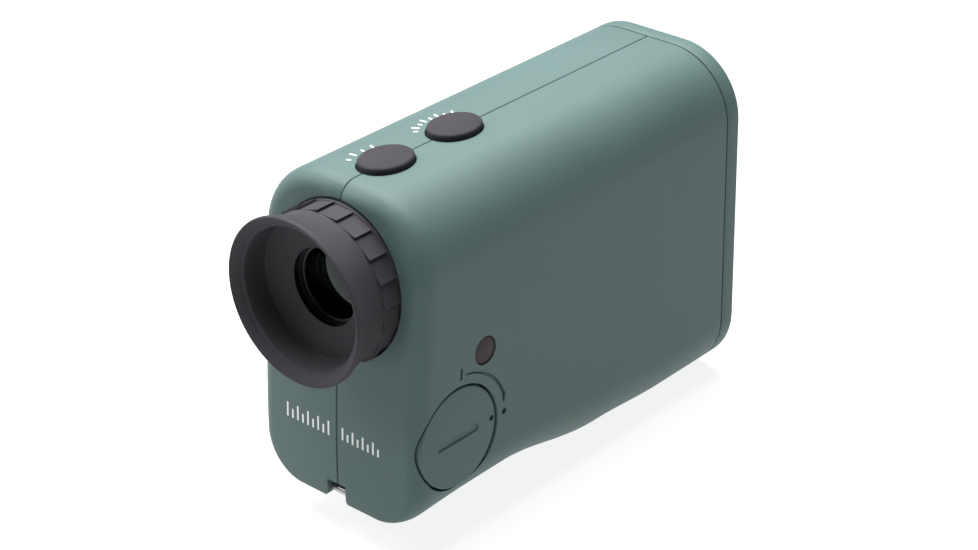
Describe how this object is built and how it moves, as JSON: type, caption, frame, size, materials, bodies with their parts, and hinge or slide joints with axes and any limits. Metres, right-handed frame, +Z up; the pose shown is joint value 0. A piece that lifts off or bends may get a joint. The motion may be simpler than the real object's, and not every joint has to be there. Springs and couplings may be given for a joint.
{
  "type": "laser rangefinder",
  "caption": "Compact one-eyed laser rangefinder: split grey-green body, stacked front lenses, focusing rubber eyecup, top keys, coin-slot battery cap.",
  "frame": {"origin": "middle of the bounding box in X and Y, on the flat face under the deep front end", "axes": "+X to the user's right (battery cap side), +Y from the eyepiece towards the target, +Z up (keys on top)"},
  "size_m": [0.0412, 0.1062, 0.0736],
  "materials": {
    "shell_paint": "satin soft-touch grey-green moulded shell",
    "cup_rubber": "matt dark grey rubber",
    "key_rubber": "matt dark grey rubber, domed and smooth",
    "optic_black": "matt black anodised look for optical mounts",
    "lens_glass": "coated lens glass",
    "steel": "bright turned steel",
    "brass": "plated brass",
    "board": "solder-masked board",
    "cell_label": "plain printed sleeve of the cell",
    "alloy": "milled alloy sheet"
  },
  "bodies": {
    "housing": {"left_shell": "shell_paint", "right_shell": "shell_paint", "front_bezel": "shell_paint", "lens_plate": "optic_black", "front_gasket": "key_rubber", "bezel_screws": "steel", "shell_screw": "steel", "side_plug": "key_rubber", "lanyard_pin": "steel", "objective_lens": "lens_glass", "objective_retaining_ring": "optic_black", "objective_barrel": "optic_black", "receiver_lens": "lens_glass", "receiver_retaining_ring": "optic_black", "receiver_barrel": "optic_black", "receiver_board": "board", "receiver_sensor": "steel", "prism_cradle": "optic_black", "roof_prism": "lens_glass", "half_penta_prism": "lens_glass", "laser_diode": "brass", "laser_board": "board", "chassis_plate": "alloy", "main_board": "board", "board_chips": "optic_black", "board_screws": "steel", "flex_cable": "brass", "display_glass": "lens_glass", "eyepiece_tube": "optic_black", "eyepiece_o_ring": "key_rubber", "button_board": "board", "dome_switches": "steel", "battery_tube": "optic_black", "battery_spring": "steel"},
    "diopter": {"diopter_ring": "optic_black", "eyecup": "cup_rubber"},
    "focus_cell": {"focus_sleeve": "optic_black", "eye_lens": "lens_glass", "field_lens": "lens_glass", "eyepiece_retaining_ring": "optic_black"},
    "mode_key": {"mode_button": "key_rubber"},
    "power_key": {"power_button": "key_rubber"},
    "contact": {"cap_contact": "brass"},
    "cap": {"battery_cap": "shell_paint", "cap_o_ring": "key_rubber"},
    "cell": {"battery": "cell_label"}
  },
  "joints": [
    {"name": "mode_press", "type": "slide", "parent": "housing", "child": "mode_key", "axis": [0, 0, -1], "range_m": [0, 0.0008], "stiffness_N_per_m": 900, "springref_m": -0.0006},
    {"name": "power_press", "type": "slide", "parent": "housing", "child": "power_key", "axis": [0, 0, -1], "range_m": [0, 0.0008], "stiffness_N_per_m": 900, "springref_m": -0.0006},
    {"name": "diopter_turn", "type": "hinge", "parent": "housing", "child": "diopter", "pos_m": [0, -0.04245, 0.0537], "axis": [0, 1, 0], "range_deg": [-90, 90]},
    {"name": "lens_focus", "type": "slide", "parent": "housing", "child": "focus_cell", "axis": [0, 1, 0], "range_m": [-0.001, 0.001]},
    {"name": "cap_pull", "type": "slide", "parent": "housing", "child": "contact", "axis": [1, 0, 0], "range_m": [0, 0.032]},
    {"name": "cap_turn", "type": "hinge", "parent": "contact", "child": "cap", "pos_m": [0.018, -0.03215, 0.0238], "axis": [1, 0, 0], "range_deg": [0, 85]},
    {"name": "cell_slide", "type": "slide", "parent": "housing", "child": "cell", "axis": [1, 0, 0], "range_m": [0, 0.0225]}
  ],
  "couplings": [
    {"joint": "lens_focus", "follows": "diopter_turn", "m_per_rad": 0.00063662},
    {"joint": "cell_slide", "follows": "cap_pull", "ratio": 0.7}
  ]
}
